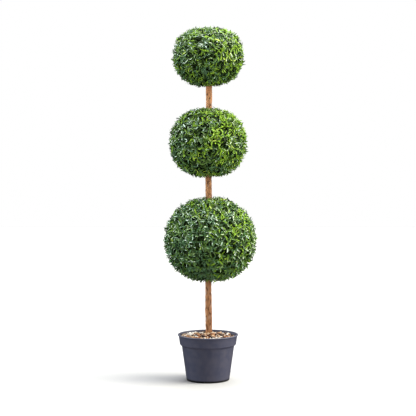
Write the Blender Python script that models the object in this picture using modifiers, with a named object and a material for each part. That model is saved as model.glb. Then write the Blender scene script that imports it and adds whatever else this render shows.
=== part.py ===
"""Artificial boxwood topiary tree: three clipped balls on one wooden pole, set in a nursery pot.

Metres, +Z up. The origin is the centre of the pot's flat underside, and +Y points away from the viewer.
"""

import math
import random
from typing import NamedTuple

import bmesh
import bpy
from mathutils import Matrix, Vector

MM = 0.001
GAP = 0.3 * MM  # between pieces that touch
MERGE = 0.05 * MM  # points nearer than this are one
TURNED_STEPS = 40  # sides of everything that is turned
SHARP_ANGLE = math.radians(30)

# Pot: an injection-moulded nursery pot with a rolled rim and a deep collar
POT_HEIGHT = 157 * MM
POT_WALL = 2.4 * MM
RIM_RADIUS = 103.4 * MM
RIM_THICKNESS = 4.4 * MM
COLLAR_TOP_RADIUS = 100 * MM
COLLAR_FOOT_RADIUS = 96.1 * MM
COLLAR_FOOT_Z = 123 * MM
SHOULDER_RADIUS = 89.5 * MM
SHOULDER_Z = 117 * MM
BASE_RADIUS = 73.7 * MM
BASE_EDGE = 4 * MM  # rounding between wall and underside
FLOOR_THICKNESS = 3 * MM

# Fill: the cast plug that holds the pole's foot, under a layer of stones
FILL_TOP_Z = 132 * MM
SOCKET_FLOOR_Z = 30 * MM

# Stones
BED_TOP_Z = 144 * MM
STONE_COUNT = 58
STONE_LENGTH = 22 * MM
STONE_SIZES = (0.72, 1.05)  # shares of the length
STONE_WIDTHS = (0.68, 0.9)  # shares of a stone's own length
STONE_FLATNESS = 0.62
STONE_KNOBS = (0.84, 1.04)  # shares of the radius, corner by corner
STONE_TILT = math.radians(20)
STONE_LIFT = 3 * MM
STONE_WALL_CLEARANCE = 2 * MM
STONE_SEED = 5

# Pole: a peeled natural stake, nearly straight and with hardly any taper
POLE_RADIUS = 10.4 * MM  # at half its height
POLE_TAPER = 0.12  # share of the radius, from foot to top
POLE_X = 2.4 * MM
POLE_TOP_Z = 1130 * MM
POLE_FOOT_Z = SOCKET_FLOOR_Z + GAP
POLE_WANDER = 1.1 * MM
POLE_WAVE = 430 * MM
POLE_SWELL = 0.015  # share of the radius
POLE_SWELLS_A_WAVE = 2.3
POLE_STEPS = 26
POLE_BEVEL_RESOLUTION = 4
POLE_SIDES = 4 + 2 * POLE_BEVEL_RESOLUTION

# Foliage: every size that is a share is a share of the way from a ball's centre to its outline
CORE_REACH = 0.83
TWIG_ROOT_REACH = 0.70
TWIG_TIP_REACH = 0.97
TWIG_ROOT_RADIUS = 4.5 * MM
TWIG_TIP_RADIUS = 2 * MM
PAIR_REACHES = (0.865, 0.92)  # where the two pairs of leaves leave the twig
PAIR_LEANS = (math.radians(64), math.radians(56))  # away from the twig
LEAF_LENGTHS = (37 * MM, 30 * MM)
LEAF_WIDTH_SHARE = 0.46
LEAF_WIDEST_SHARE = 0.45
LEAF_THICKNESS_SHARE = 0.035
LEAF_FOLD_SHARE = 0.05
LEAF_ROOT_SUNK = 1 * MM
SHORTEST_LEAF = 12 * MM
TWIG_TILT = math.radians(12)
SPIRAL_JITTER = 0.12  # share of the spacing between sprigs
TURNS_TRIED = 8
LEAF_SAMPLES = (0.4, 0.7, 1)  # where on a leaf its distance to others is taken
LIMB_CLEARANCE = 3 * MM  # leaves stay this far off the pole
GOLDEN_ANGLE = math.pi * (3 - math.sqrt(5))
HALVINGS = 20  # of a length that is searched for


class Ball(NamedTuple):
    """One clipped ball: where it sits on the pole, its outline and its sprigs."""

    name: str
    x: float
    z: float
    half_width: float
    half_height: float
    crown_squareness: float  # of its upper half: 2 is an ellipse, and more is boxier
    foot_squareness: float
    sprigs: int
    seed: int


BALLS = (
    Ball("foliage_ball_bottom", 7.5 * MM, 481 * MM, 158 * MM, 145.5 * MM, 2.06, 2.22, 48, 11),
    Ball("foliage_ball_middle", 0, 809.5 * MM, 132 * MM, 119 * MM, 2.25, 2.22, 38, 23),
    Ball("foliage_ball_top", 1 * MM, 1097 * MM, 121 * MM, 102.5 * MM, 2.4, 2.08, 32, 37),
)


def clear_scene():
    for obj in list(bpy.data.objects):
        bpy.data.objects.remove(obj, do_unlink=True)


def add_collection(name):
    collection = bpy.data.collections.new(name)
    bpy.context.scene.collection.children.link(collection)
    return collection


def add_object(name, data, collection, material=None):
    obj = bpy.data.objects.new(name, data)
    collection.objects.link(obj)
    if material is not None:
        data.materials.append(material)
    return obj


def add_material(name, colour, roughness):
    """A Principled BSDF in a linear colour. Nothing here is metal."""
    material = bpy.data.materials.new(name)
    material.use_nodes = True
    shader = material.node_tree.nodes["Principled BSDF"]
    shader.inputs["Base Color"].default_value = (*colour, 1)
    shader.inputs["Roughness"].default_value = roughness
    shader.inputs["Metallic"].default_value = 0
    return material


def mesh_of(name, shape):
    """The bmesh as a new mesh, which frees it."""
    mesh = bpy.data.meshes.new(name)
    shape.to_mesh(mesh)
    shape.free()
    return mesh


def apply_modifiers(obj):
    graph = bpy.context.evaluated_depsgraph_get()
    mesh = bpy.data.meshes.new_from_object(obj.evaluated_get(graph))
    obj.modifiers.clear()
    obj.data = mesh


def turned(name, profile, collection, material, ring=False):
    """A Screw of a (radius, height) profile, given from the top down, or closed where it is a ring."""
    shape = bmesh.new()
    points = [shape.verts.new((radius, 0, height)) for radius, height in profile]
    ends = points[1:] + points[:1] if ring else points[1:]
    for start, end in zip(points, ends):
        if start.co.x > 0 or end.co.x > 0:
            shape.edges.new((start, end))
    obj = add_object(name, mesh_of(name, shape), collection, material)
    screw = obj.modifiers.new("Turn", "SCREW")
    screw.steps = screw.render_steps = TURNED_STEPS
    screw.use_merge_vertices = True
    screw.merge_threshold = MERGE
    apply_modifiers(obj)
    obj.data.shade_smooth()
    obj.data.set_sharp_from_angle(angle=SHARP_ANGLE)
    return obj


def add_boolean(obj, operation, other):
    """Joins a collection to obj, or cuts obj by a cutter."""
    boolean = obj.modifiers.new(operation.title(), "BOOLEAN")
    boolean.operation = operation
    if isinstance(other, bpy.types.Collection):
        boolean.operand_type = "COLLECTION"
        boolean.collection = other
    else:
        boolean.object = other


def islands(shape):
    """The bmesh's faces, grouped by the skin that they belong to."""
    left = set(shape.faces)
    while left:
        island, edge_of = [], [left.pop()]
        while edge_of:
            face = edge_of.pop()
            island.append(face)
            near = {f for e in face.edges for f in e.link_faces} & left
            left -= near
            edge_of.extend(near)
        yield island


def signed_volume(faces):
    total = 0
    for face in faces:
        first, *rest = [loop.vert.co for loop in face.loops]
        total += sum(first.dot(a.cross(b)) for a, b in zip(rest, rest[1:]))
    return total / 6


def keep_outer_skin(obj):
    """Fills hollows that a union sealed and drops loose scraps, so that one closed body is left."""
    shape = bmesh.new()
    shape.from_mesh(obj.data)
    bmesh.ops.triangulate(shape, faces=shape.faces)
    skins = sorted(islands(shape), key=signed_volume)
    for skin in skins[:-1]:
        bmesh.ops.delete(shape, geom=skin, context="FACES")
    shape.to_mesh(obj.data)
    shape.free()


def fuse(obj, pieces):
    """One Boolean union of obj with all that the collection holds, which is then removed."""
    add_boolean(obj, "UNION", pieces)
    apply_modifiers(obj)
    keep_outer_skin(obj)
    for piece in list(pieces.objects):
        bpy.data.objects.remove(piece, do_unlink=True)
    bpy.data.collections.remove(pieces)


def pole_centre(z):
    """The pole's centreline, which wanders a little as a natural stake does."""
    phase = 2 * math.pi * z / POLE_WAVE
    return Vector((POLE_X + POLE_WANDER * math.sin(phase), POLE_WANDER * math.cos(phase / 2), z))


def pole_radius(z):
    phase = 2 * math.pi * z / POLE_WAVE
    taper = POLE_TAPER * (0.5 - z / POLE_TOP_Z)
    return POLE_RADIUS * (1 + taper + POLE_SWELL * math.sin(phase * POLE_SWELLS_A_WAVE))


def pole_curve(name, foot_z, top_z, clearance, collection, material=None):
    """The pole, or a wider one that cuts its way through other pieces."""
    curve = bpy.data.curves.new(name, "CURVE")
    curve.dimensions = "3D"
    curve.bevel_depth = POLE_RADIUS
    curve.bevel_resolution = POLE_BEVEL_RESOLUTION
    curve.use_fill_caps = True
    spline = curve.splines.new("POLY")
    inside = [POLE_FOOT_Z + (POLE_TOP_Z - POLE_FOOT_Z) * k / POLE_STEPS for k in range(POLE_STEPS + 1)]
    heights = [foot_z, *inside[1:-1], top_z]
    spline.points.add(len(heights) - 1)
    for point, z in zip(spline.points, heights):
        point.co = (*pole_centre(z), 1)
        point.radius = (pole_radius(z) + clearance) / POLE_RADIUS
    return add_object(name, curve, collection, material)


def make_pole_cutter(cutters):
    """The pole with clearance all round, as a mesh, because a curve can't cut."""
    clearance = GAP / math.cos(math.pi / POLE_SIDES)
    guide = pole_curve("pole_cutter_guide", SOCKET_FLOOR_Z, POLE_TOP_Z + GAP, clearance, cutters)
    graph = bpy.context.evaluated_depsgraph_get()
    mesh = bpy.data.meshes.new_from_object(guide.evaluated_get(graph))
    bpy.data.objects.remove(guide, do_unlink=True)
    shape = bmesh.new()
    shape.from_mesh(mesh)
    bmesh.ops.remove_doubles(shape, verts=shape.verts, dist=MERGE)
    bmesh.ops.recalc_face_normals(shape, faces=shape.faces)
    shape.to_mesh(mesh)
    shape.free()
    cutter = add_object("pole_cutter", mesh, cutters)
    cutter.hide_render = True
    cutter.display_type = "WIRE"
    return cutter


def pot_wall_radius(z):
    """The pot's inner radius at height z."""
    if z >= COLLAR_FOOT_Z:
        share = (z - COLLAR_FOOT_Z) / (POT_HEIGHT - COLLAR_FOOT_Z)
        outer = COLLAR_FOOT_RADIUS + share * (COLLAR_TOP_RADIUS - COLLAR_FOOT_RADIUS)
    else:
        share = min(z, SHOULDER_Z) / SHOULDER_Z
        outer = BASE_RADIUS + share * (SHOULDER_RADIUS - BASE_RADIUS)
    return outer - POT_WALL


def make_pot(collection, material):
    edge = [math.radians(angle) for angle in (0, 30, 60, 90)]
    rim_edge = RIM_THICKNESS / 2
    rim = [
        (RIM_RADIUS - rim_edge + rim_edge * math.sin(a), POT_HEIGHT - rim_edge + rim_edge * math.cos(a))
        for a in edge
    ]
    rim.append((RIM_RADIUS - rim_edge / 2, POT_HEIGHT - RIM_THICKNESS))
    outside = [
        (COLLAR_TOP_RADIUS, POT_HEIGHT - RIM_THICKNESS - MM),
        (COLLAR_FOOT_RADIUS, COLLAR_FOOT_Z + MM),
        (COLLAR_FOOT_RADIUS - MM, COLLAR_FOOT_Z),
        (SHOULDER_RADIUS, SHOULDER_Z),
    ]
    foot = [
        (BASE_RADIUS - BASE_EDGE + BASE_EDGE * math.cos(a), BASE_EDGE - BASE_EDGE * math.sin(a))
        for a in edge
    ]
    inside = [
        (0, FLOOR_THICKNESS),
        (pot_wall_radius(FLOOR_THICKNESS), FLOOR_THICKNESS),
        (pot_wall_radius(SHOULDER_Z), SHOULDER_Z),
        (pot_wall_radius(COLLAR_FOOT_Z), COLLAR_FOOT_Z + POT_WALL),
        (pot_wall_radius(POT_HEIGHT), POT_HEIGHT - MM),
        (pot_wall_radius(POT_HEIGHT) + MM, POT_HEIGHT),
    ]
    return turned("pot", [*rim, *outside, *foot, (0, 0), *inside], collection, material, ring=True)


def make_fill(cutter, collection, material):
    """The cast plug that fills the pot up to the stones, with a socket for the pole's foot."""
    floor_z = FLOOR_THICKNESS + GAP
    profile = [
        (0, FILL_TOP_Z),
        (pot_wall_radius(FILL_TOP_Z) - GAP, FILL_TOP_Z),
        (pot_wall_radius(COLLAR_FOOT_Z) - GAP, COLLAR_FOOT_Z + POT_WALL + GAP),
        (pot_wall_radius(SHOULDER_Z) - GAP, SHOULDER_Z),
        (pot_wall_radius(floor_z) - GAP, floor_z),
        (0, floor_z),
    ]
    fill = turned("pot_fill", profile, collection, material)
    add_boolean(fill, "DIFFERENCE", cutter)


def make_stone(chance, place, collection):
    """A knobbly pebble, lying flat with a slight tilt."""
    shape = bmesh.new()
    bmesh.ops.create_icosphere(shape, subdivisions=1, radius=STONE_LENGTH / 2)
    for vert in shape.verts:
        vert.co *= chance.uniform(*STONE_KNOBS)
    size = chance.uniform(*STONE_SIZES)
    stretch = Matrix.Diagonal((size, size * chance.uniform(*STONE_WIDTHS), size * STONE_FLATNESS, 1))
    roll = Matrix.Rotation(chance.uniform(-STONE_TILT, STONE_TILT), 4, "X")
    pitch = Matrix.Rotation(chance.uniform(-STONE_TILT, STONE_TILT), 4, "Y")
    turn = Matrix.Rotation(chance.uniform(0, math.tau), 4, "Z")
    lie = Matrix.Translation(place) @ roll @ pitch @ turn @ stretch
    bmesh.ops.transform(shape, matrix=lie, verts=shape.verts)
    add_object("stone", mesh_of("stone", shape), collection)


def make_gravel(cutter, collection, material):
    """A bed of stones on the fill, spread on a sunflower spiral and fused with their bed."""
    low_z = FILL_TOP_Z + GAP
    profile = [
        (0, BED_TOP_Z),
        (pot_wall_radius(BED_TOP_Z) - GAP, BED_TOP_Z),
        (pot_wall_radius(low_z) - GAP, low_z),
        (0, low_z),
    ]
    gravel = turned("gravel", profile, collection, material)
    chance = random.Random(STONE_SEED)
    stones = add_collection("stones")
    spread = pot_wall_radius(BED_TOP_Z) - STONE_LENGTH / 2 - STONE_WALL_CLEARANCE
    for index in range(STONE_COUNT):
        radius = spread * math.sqrt((index + 0.5) / STONE_COUNT)
        angle = index * GOLDEN_ANGLE
        lift = chance.uniform(0, STONE_LIFT)
        place = Vector((radius * math.cos(angle), radius * math.sin(angle), BED_TOP_Z + lift))
        if (place - pole_centre(place.z)).length > POLE_RADIUS + STONE_LENGTH / 4:
            make_stone(chance, place, stones)
    fuse(gravel, stones)
    add_boolean(gravel, "DIFFERENCE", cutter)


def ball_centre(ball):
    return Vector((ball.x, 0, ball.z))


def reach_of(ball, point):
    """How far a point lies out from the ball's centre: 1 is on the clipped outline."""
    away = point - ball_centre(ball)
    squareness = ball.crown_squareness if away.z > 0 else ball.foot_squareness
    across = math.hypot(away.x, away.y) / ball.half_width
    along = abs(away.z) / ball.half_height
    return (across**squareness + along**squareness) ** (1 / squareness)


def outline_point(ball, direction, reach=1):
    """The point that lies in a direction from the ball's centre, at a share of the way to its outline."""
    centre = ball_centre(ball)
    return centre + direction * (reach / reach_of(ball, centre + direction))


def room_along(ball, start, direction, most):
    """How far one can go from start before leaving the clipped outline, up to the most asked for."""
    low, high = 0, most
    if reach_of(ball, start + direction * most) <= 1:
        return most
    for _ in range(HALVINGS):
        middle = (low + high) / 2
        if reach_of(ball, start + direction * middle) <= 1:
            low = middle
        else:
            high = middle
    return low


def sprig_places(ball):
    """(direction, axis, turn) of each sprig, on a golden spiral round the ball that is a little disturbed."""
    chance = random.Random(ball.seed)
    spacing = math.sqrt(4 * math.pi / ball.sprigs)
    for index in range(ball.sprigs):
        height = 1 - (2 * index + 1) / ball.sprigs
        across = math.sqrt(1 - height * height)
        angle = index * GOLDEN_ANGLE
        direction = Vector((across * math.cos(angle), across * math.sin(angle), height))
        stray = Vector([chance.uniform(-1, 1) for _ in range(3)]) * spacing * SPIRAL_JITTER
        direction = (direction + stray).normalized()
        lean = Vector([chance.uniform(-1, 1) for _ in range(3)]) * math.tan(TWIG_TILT)
        yield direction, (direction + lean).normalized(), chance.uniform(0, math.tau)


def clear_of_pole(points):
    """Whether all the points are well off the pole, or above its top."""
    for point in points:
        z = min(max(point.z, POLE_FOOT_Z), POLE_TOP_Z)
        if (point - pole_centre(z)).length < pole_radius(z) + LIMB_CLEARANCE:
            return False
    return True


def twig_of(ball, direction, axis):
    """(root, length) of the twig that stands in a direction, or None where it would touch the pole."""
    root = outline_point(ball, direction, TWIG_ROOT_REACH)
    full = (TWIG_TIP_REACH - TWIG_ROOT_REACH) * (root - ball_centre(ball)).length / TWIG_ROOT_REACH
    length = room_along(ball, root, axis, full)
    if clear_of_pole([root + axis * length, root + axis * length / 2]):
        return root, length
    return None


def make_twig(root, axis, length, collection):
    """A three-sided twig, its root sunk in the core."""
    shape = bmesh.new()
    bmesh.ops.create_cone(
        shape, cap_ends=True, segments=3, radius1=TWIG_ROOT_RADIUS, radius2=TWIG_TIP_RADIUS, depth=length
    )
    turn = axis.to_track_quat("Z", "Y").to_matrix().to_4x4()
    place = Matrix.Translation(root + axis * length / 2) @ turn
    bmesh.ops.transform(shape, matrix=place, verts=shape.verts)
    add_object("twig", mesh_of("twig", shape), collection)


def make_leaf(start, along, outward, length, collection):
    """A thin folded blade of eight faces, from its root at start to its tip."""
    shape = bmesh.new()
    bmesh.ops.create_uvsphere(shape, u_segments=4, v_segments=2, radius=0.5)
    for vert in shape.verts:
        on_rim = abs(vert.co.z) < 0.25
        share = LEAF_WIDEST_SHARE if on_rim else vert.co.z + 0.5
        fold = LEAF_FOLD_SHARE if abs(vert.co.y) > 0.25 else 0
        vert.co = (
            vert.co.x * LEAF_WIDTH_SHARE * length,
            (vert.co.y * LEAF_THICKNESS_SHARE + fold) * length,
            share * length,
        )
    across = outward.cross(along).normalized()
    up = along.cross(across)
    turn = Matrix((across, up, along)).transposed().to_4x4()
    bmesh.ops.transform(shape, matrix=Matrix.Translation(start) @ turn, verts=shape.verts)
    if clear_of_pole([vert.co for vert in shape.verts]):
        add_object("leaf", mesh_of("leaf", shape), collection)


def leaves_of(ball, root, axis, length, turn):
    """(start, direction, length) of two pairs of leaves, the second a quarter turn on from the first."""
    side = axis.orthogonal().normalized()
    leaves = []
    for pair, (reach, lean, longest) in enumerate(zip(PAIR_REACHES, PAIR_LEANS, LEAF_LENGTHS)):
        share = (reach - TWIG_ROOT_REACH) / (TWIG_TIP_REACH - TWIG_ROOT_REACH)
        node = root + axis * length * share
        for half in range(2):
            aside = Matrix.Rotation(turn + math.pi * (pair / 2 + half), 3, axis) @ side
            along = axis * math.cos(lean) + aside * math.sin(lean)
            start = node - along * LEAF_ROOT_SUNK
            room = room_along(ball, start, along, longest)
            if room >= SHORTEST_LEAF:
                leaves.append((start, along, room))
    return leaves


def leaf_points(leaves):
    return [start + along * length * share for start, along, length in leaves for share in LEAF_SAMPLES]


def make_sprig(ball, direction, axis, turn, taken, collection):
    """A twig with its leaves, turned to where they are furthest from the leaves that are there."""
    twig = twig_of(ball, direction, axis)
    if twig is None:
        return
    root, length = twig
    best, most = [], -1
    for trial in range(TURNS_TRIED):
        leaves = leaves_of(ball, root, axis, length, turn + trial * math.pi / TURNS_TRIED)
        room = min((a - b).length for a in leaf_points(leaves) for b in taken) if taken else 0
        if room > most:
            best, most = leaves, room
    taken.extend(leaf_points(best))
    make_twig(root, axis, length, collection)
    for start, along, length in best:
        make_leaf(start, along, axis, length, collection)


def make_ball(ball, cutter, collection, material):
    """A clipped mass: a core, and the sprigs that stand out of it to the outline."""
    shape = bmesh.new()
    bmesh.ops.create_icosphere(shape, subdivisions=3, radius=1)
    for vert in shape.verts:
        vert.co = outline_point(ball, vert.co.normalized(), CORE_REACH)
    core = add_object(ball.name, mesh_of(ball.name, shape), collection, material)
    core.data.shade_smooth()
    sprigs = add_collection(ball.name + "_sprigs")
    taken = []
    for direction, axis, turn in sprig_places(ball):
        make_sprig(ball, direction, axis, turn, taken, sprigs)
    fuse(core, sprigs)
    add_boolean(core, "DIFFERENCE", cutter)


def main():
    clear_scene()
    tree = add_collection("three_ball_topiary_tree")
    cutter = make_pole_cutter(add_collection("cutters"))
    make_pot(tree, add_material("pot_plastic", (0.055, 0.058, 0.085), 0.55))
    make_fill(cutter, tree, add_material("cast_fill", (0.21, 0.2, 0.19), 0.9))
    make_gravel(cutter, tree, add_material("pale_gravel", (0.5, 0.36, 0.24), 0.7))
    wood = add_material("peeled_wood", (0.36, 0.18, 0.09), 0.7)
    pole_curve("pole", POLE_FOOT_Z, POLE_TOP_Z, 0, tree, wood)
    leaf_green = add_material("boxwood_green", (0.07, 0.15, 0.035), 0.45)
    for ball in BALLS:
        make_ball(ball, cutter, tree, leaf_green)


main()
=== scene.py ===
"""Artificial three-ball topiary tree: nursery pot, pebbles, stake and leaves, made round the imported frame.

Metres, +Z up, the origin at the centre of the pot's flat underside, and +Y away from the camera.
"""

import math
import random
from typing import NamedTuple

import bpy
import numpy as np
from bpy.props import FloatProperty, FloatVectorProperty, IntProperty, PointerProperty
from mathutils import Matrix, Vector, noise


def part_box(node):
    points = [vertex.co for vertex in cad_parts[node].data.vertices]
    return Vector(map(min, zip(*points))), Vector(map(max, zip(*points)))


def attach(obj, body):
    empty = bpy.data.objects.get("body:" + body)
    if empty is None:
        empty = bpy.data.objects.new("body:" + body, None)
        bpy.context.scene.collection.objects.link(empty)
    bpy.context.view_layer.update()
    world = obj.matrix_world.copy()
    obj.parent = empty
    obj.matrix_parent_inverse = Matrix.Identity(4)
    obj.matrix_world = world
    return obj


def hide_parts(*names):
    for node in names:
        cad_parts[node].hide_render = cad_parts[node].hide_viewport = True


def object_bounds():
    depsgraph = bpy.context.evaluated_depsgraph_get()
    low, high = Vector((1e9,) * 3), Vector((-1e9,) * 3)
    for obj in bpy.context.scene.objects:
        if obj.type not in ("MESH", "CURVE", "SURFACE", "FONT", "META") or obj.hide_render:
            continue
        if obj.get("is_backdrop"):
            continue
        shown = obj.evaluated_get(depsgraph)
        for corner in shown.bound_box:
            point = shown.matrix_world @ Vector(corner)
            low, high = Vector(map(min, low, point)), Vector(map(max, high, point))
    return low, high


bl_info = {
    "name": "Three-Ball Topiary",
    "version": (1, 0, 0),
    "blender": (4, 5, 0),
    "location": "View3D > Sidebar > Topiary",
    "description": "Dresses an artificial three-ball topiary tree with leaves, wood, pebbles and a pot",
    "category": "Add Mesh",
}

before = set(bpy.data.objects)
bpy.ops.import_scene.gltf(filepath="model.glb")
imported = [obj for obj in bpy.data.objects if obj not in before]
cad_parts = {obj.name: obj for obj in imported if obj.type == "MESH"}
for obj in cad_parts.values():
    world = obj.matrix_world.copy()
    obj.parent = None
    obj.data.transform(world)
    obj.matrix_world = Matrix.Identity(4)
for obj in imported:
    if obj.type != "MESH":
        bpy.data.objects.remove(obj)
CAD_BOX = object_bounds()
BODY = "root"

MM = 0.001
GOLDEN_ANGLE = math.pi * (3 - math.sqrt(5))
HALVINGS = 12  # of a length that is searched for

# Pot, from its node's box
POT_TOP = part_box("pot")[1]
RIM_RADIUS = POT_TOP.x
POT_HEIGHT = POT_TOP.z
POT_SIDES = 128
POT_WALL = 2.4 * MM
RIM_THICKNESS = 4.4 * MM
COLLAR_TOP_RADIUS = 100 * MM
COLLAR_FOOT_RADIUS = 96.1 * MM
COLLAR_FOOT_Z = 123 * MM
SHOULDER_RADIUS = 89.5 * MM
SHOULDER_Z = 117 * MM
BASE_RADIUS = 73.7 * MM
BASE_EDGE = 4 * MM
POT_SMOOTH_ANGLE = math.radians(38)

# Gravel
BED_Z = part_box("pot_fill")[1].z + 8 * MM
GRIT_DEPTH = 4.5 * MM
PEBBLE_DEALS = (("sand", 0.3), ("white", 0.26), ("rust", 0.26), ("brown", 0.18))  # (kind, share)
PEBBLE_SHAPES = 9
PEBBLE_LAYERS = (  # (height over the bed, count, how far out from the stake, or None up to the wall)
    (5 * MM, 150, None),
    (9.5 * MM, 250, None),
    (14 * MM, 130, None),
    (18.5 * MM, 34, 46 * MM),
    (22.5 * MM, 13, 28 * MM),
)
PEBBLE_DOME = 4 * MM  # that they lie lower by at the wall than in the middle
PEBBLE_SIZES = (0.72, 1.3)
PEBBLE_STRETCH = 1.12
PEBBLE_WIDTHS = (0.74, 0.98)
PEBBLE_HEIGHTS = (0.58, 0.8)
PEBBLE_UNEVENNESS = (0.94, 1.05)
PEBBLE_FLATS = 8  # faces that one is broken on
PEBBLE_FLAT_REACHES = (0.3, 0.42)  # how far from its middle those lie, as shares of its length
PEBBLE_FLATNESS = 0.92
PEBBLE_TILT = math.radians(38)
PEBBLE_STRAY = 0.3  # along the bed, as a share of its length
PEBBLE_SINK = 0.3  # into its layer, as a share of its length
PEBBLE_LIFT_STRAY = 1.5  # mm, either way
PEBBLE_SPREADING_STEPS = 60
PEBBLE_ROOMS = (0.43, 0.42, 0.54)  # from another's middle, the stake and the wall, as shares of its length
PEBBLE_PUSH = 0.35  # share of an overlap that one step clears
GRAVEL_SEED = 8

# Stake: the source's centreline and radius
STAKE_LOW, STAKE_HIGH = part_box("pole")
STAKE_RADIUS = 10.4 * MM
STAKE_TAPER = 0.12
STAKE_X = 2.4 * MM
STAKE_WANDER = 1.1 * MM
STAKE_WAVE = 430 * MM
STAKE_SWELL = 0.015
STAKE_SWELLS_A_WAVE = 2.3
STAKE_SIDES = 56
STAKE_CUTS = (49, 9)  # of its length, and of each piece of that
STAKE_RELIEF = (  # (fineness round it, fineness up it, where the noise starts, height in mm)
    (1.9, 11, (0, 0), 0.5),  # long ridges
    (0.9, 26, (7, 0), 0.45),  # flats where bark was pared off
    (7, 30, (0, 3), 0.35),  # grain
    (2.6, 95, (0, 0), 0.9),  # bumps
)
STAKE_PLUMPNESS = 0.35 * MM
KNOT_COUNT = 34
KNOT_SIZES = (2.2 * MM, 4.6 * MM)
KNOT_LIFTS = (0.9, 0.7, -0.55)  # mm that one stands out, or lies in
KNOT_LENGTH = 1.5  # of its width
KNOT_REACH = 4  # sizes up and down, past which it does nothing
KNOT_DARKNESS = 0.6
KNOT_DARK_FALL = 3  # how much faster its dark fades than its lift
STAKE_SEED = 4

# Foliage: the source's rule. A reach is a share of the way from a ball's centre to its outline
TWIG_ROOT_REACH = 0.70
TWIG_TIP_REACH = 0.97
SPIRAL_JITTER = 0.12
TWIG_TILT = math.radians(12)
LIMB_CLEARANCE = 3 * MM

# Foliage: the finer twigs that grow on from the source's
FRAME_REACH = 0.80
FRAME_RIB = 1.2 * MM
FRAME_CELL_DEPTH = 3 * MM
FORK_SHARE = 0.4  # of the way up a main twig, where fine ones leave it
FORK_REACH = 0.83  # where a fine twig bends outwards
FINE_TIP_REACHES = (0.93, 0.985)
FINE_JITTER = 0.55
FINE_TILT = math.radians(24)
FINE_RADII = (0.9 * MM, 0.7 * MM, 0.45 * MM)
MAIN_RADII = (2.2 * MM, 1.1 * MM)
FINE_SEED = 100
OLD, GROWN, FRESH = range(3)
LEAF_PAIRS = (  # (share of the way up the twig, lean in degrees, age)
    (0.05, 70, OLD),
    (0.45, 74, OLD),
    (0.8, 66, GROWN),
    (1, 44, FRESH),
)
LEAF_LEAN_STRAY = 16  # degrees, either way
LEAF_TURN_STRAY = 0.35  # about the twig, either way, in radians
LEAF_SPIN = 0.35  # about its own length, either way, in radians
LEAF_ROWS = ((0, 0), (0.2, 0.4), (0.5, 0.5), (0.84, 0.42), (1, 0))  # (share of its length, half width)
LEAF_BENDS = (  # (fold along the rib, droop of the tip, sweep of the tip to one side)
    (0.1, 0.12, 1.3),
    (0.12, 0.3, -1.7),
    (0.08, -0.1, 2.0),
    (0.11, 0.2, -0.8),
    (0.12, 0.4, -1.3),
)
LEAF_SIZES = (0.78, 1.18)
SHORTEST_SHARE = 0.45  # of a full leaf, below which one that is clipped is left out
OUTLINE_STRAY = 0.035
LUMP_WIDTH = 42 * MM
DIMPLE_DEPTH = 0.10
DIMPLE_WIDTH = 26 * MM


class Ball(NamedTuple):
    """One clipped ball: the node that it replaces, its outline, its main sprigs and its dents."""

    node: str
    x: float
    z: float
    half_width: float
    half_height: float
    crown_squareness: float  # of its upper half: 2 is an ellipse, and more is boxier
    foot_squareness: float
    sprigs: int
    seed: int
    lumps: float  # how far the clipping strays from the outline, as a share
    crown_dent: float  # share that the outline sinks by right at the top
    youth: float  # how far its sprays lean to young growth
    # The next field is painted light: it deals paler young leaves to the crown, so that its top reads
    # brighter.
    crown_painted_light: float  # how much further they do at the crown


BALLS = (
    Ball(
        "foliage_ball_bottom", 7.5 * MM, 481 * MM, 158 * MM, 145.5 * MM,
        2.06, 2.22, 48, 11, 0.03, 0, -0.32, 0.3,
    ),
    Ball(
        "foliage_ball_middle", 0, 809.5 * MM, 132 * MM, 119 * MM,
        2.25, 2.22, 38, 23, 0.03, 0, 0.12, 0.12,
    ),
    Ball(
        "foliage_ball_top", 1 * MM, 1097 * MM, 121 * MM, 102.5 * MM,
        2.4, 2.08, 32, 37, 0.05, 0.04, 0.1, 0.2,
    ),
)


def linear(code):
    """The linear colour of an sRGB hex value."""
    channels = [int(code[k : k + 2], 16) / 255 for k in (0, 2, 4)]
    return [c / 12.92 if c <= 0.04045 else ((c + 0.055) / 1.055) ** 2.4 for c in channels]


def colour_property(name, description, code):
    return FloatVectorProperty(
        name=name, description=description, subtype="COLOR", size=3, min=0, max=1, default=linear(code)
    )


def length_property(name, description, default, least, most):
    """A length whose default and bounds are given in millimetres."""
    limits = {"default": default * MM, "min": least * MM, "max": most * MM}
    return FloatProperty(name=name, description=description, unit="LENGTH", **limits)


class TopiarySizes(bpy.types.PropertyGroup):
    """Sizes that a user would change."""

    leaf_length: length_property("Leaf length", "Length of a full-grown leaf from stalk to tip", 17, 8, 40)
    leaf_width: length_property("Leaf width", "Width of a full-grown leaf at its widest", 5.2, 2, 15)
    twig_spacing: length_property("Twig spacing", "Distance between fine twigs on a ball", 12.8, 7, 30)
    pebble_length: length_property("Pebble length", "Mean length of the pebbles on the pot", 12.5, 4, 30)
    frame_detail: IntProperty(
        name="Frame detail",
        description="How finely the plastic frame inside a ball is divided",
        default=4,
        min=2,
        max=5,
    )


class TopiaryColours(bpy.types.PropertyGroup):
    """Colours that a user would change."""

    pot: colour_property("Pot", "Slate-blue plastic of the nursery pot", "40435B")
    wood: colour_property("Wood", "Peeled stake where it is clean", "FFB77C")
    leaf_deep: colour_property("Deep leaf", "Old leaves low in the sprays", "2E4519")
    leaf_green: colour_property("Green leaf", "The common leaf", "5F8530")
    leaf_cool: colour_property("Cool leaf", "Leaves moulded in a bluer green", "527C4E")
    leaf_young: colour_property("Young leaf", "Bright sprays of new growth", "83AC26")
    leaf_tip: colour_property("Tip leaf", "The palest yellow-green tips", "AAC644")
    pebble_sand: colour_property("Sand pebble", "Beige stones", "C2A688")
    pebble_white: colour_property("White pebble", "Quartz stones", "E6E1DA")
    pebble_rust: colour_property("Rust pebble", "Stones stained with iron", "A0704A")
    pebble_brown: colour_property("Brown pebble", "The darkest stones", "4E3A30")


def sizes():
    return bpy.context.scene.topiary_sizes


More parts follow.
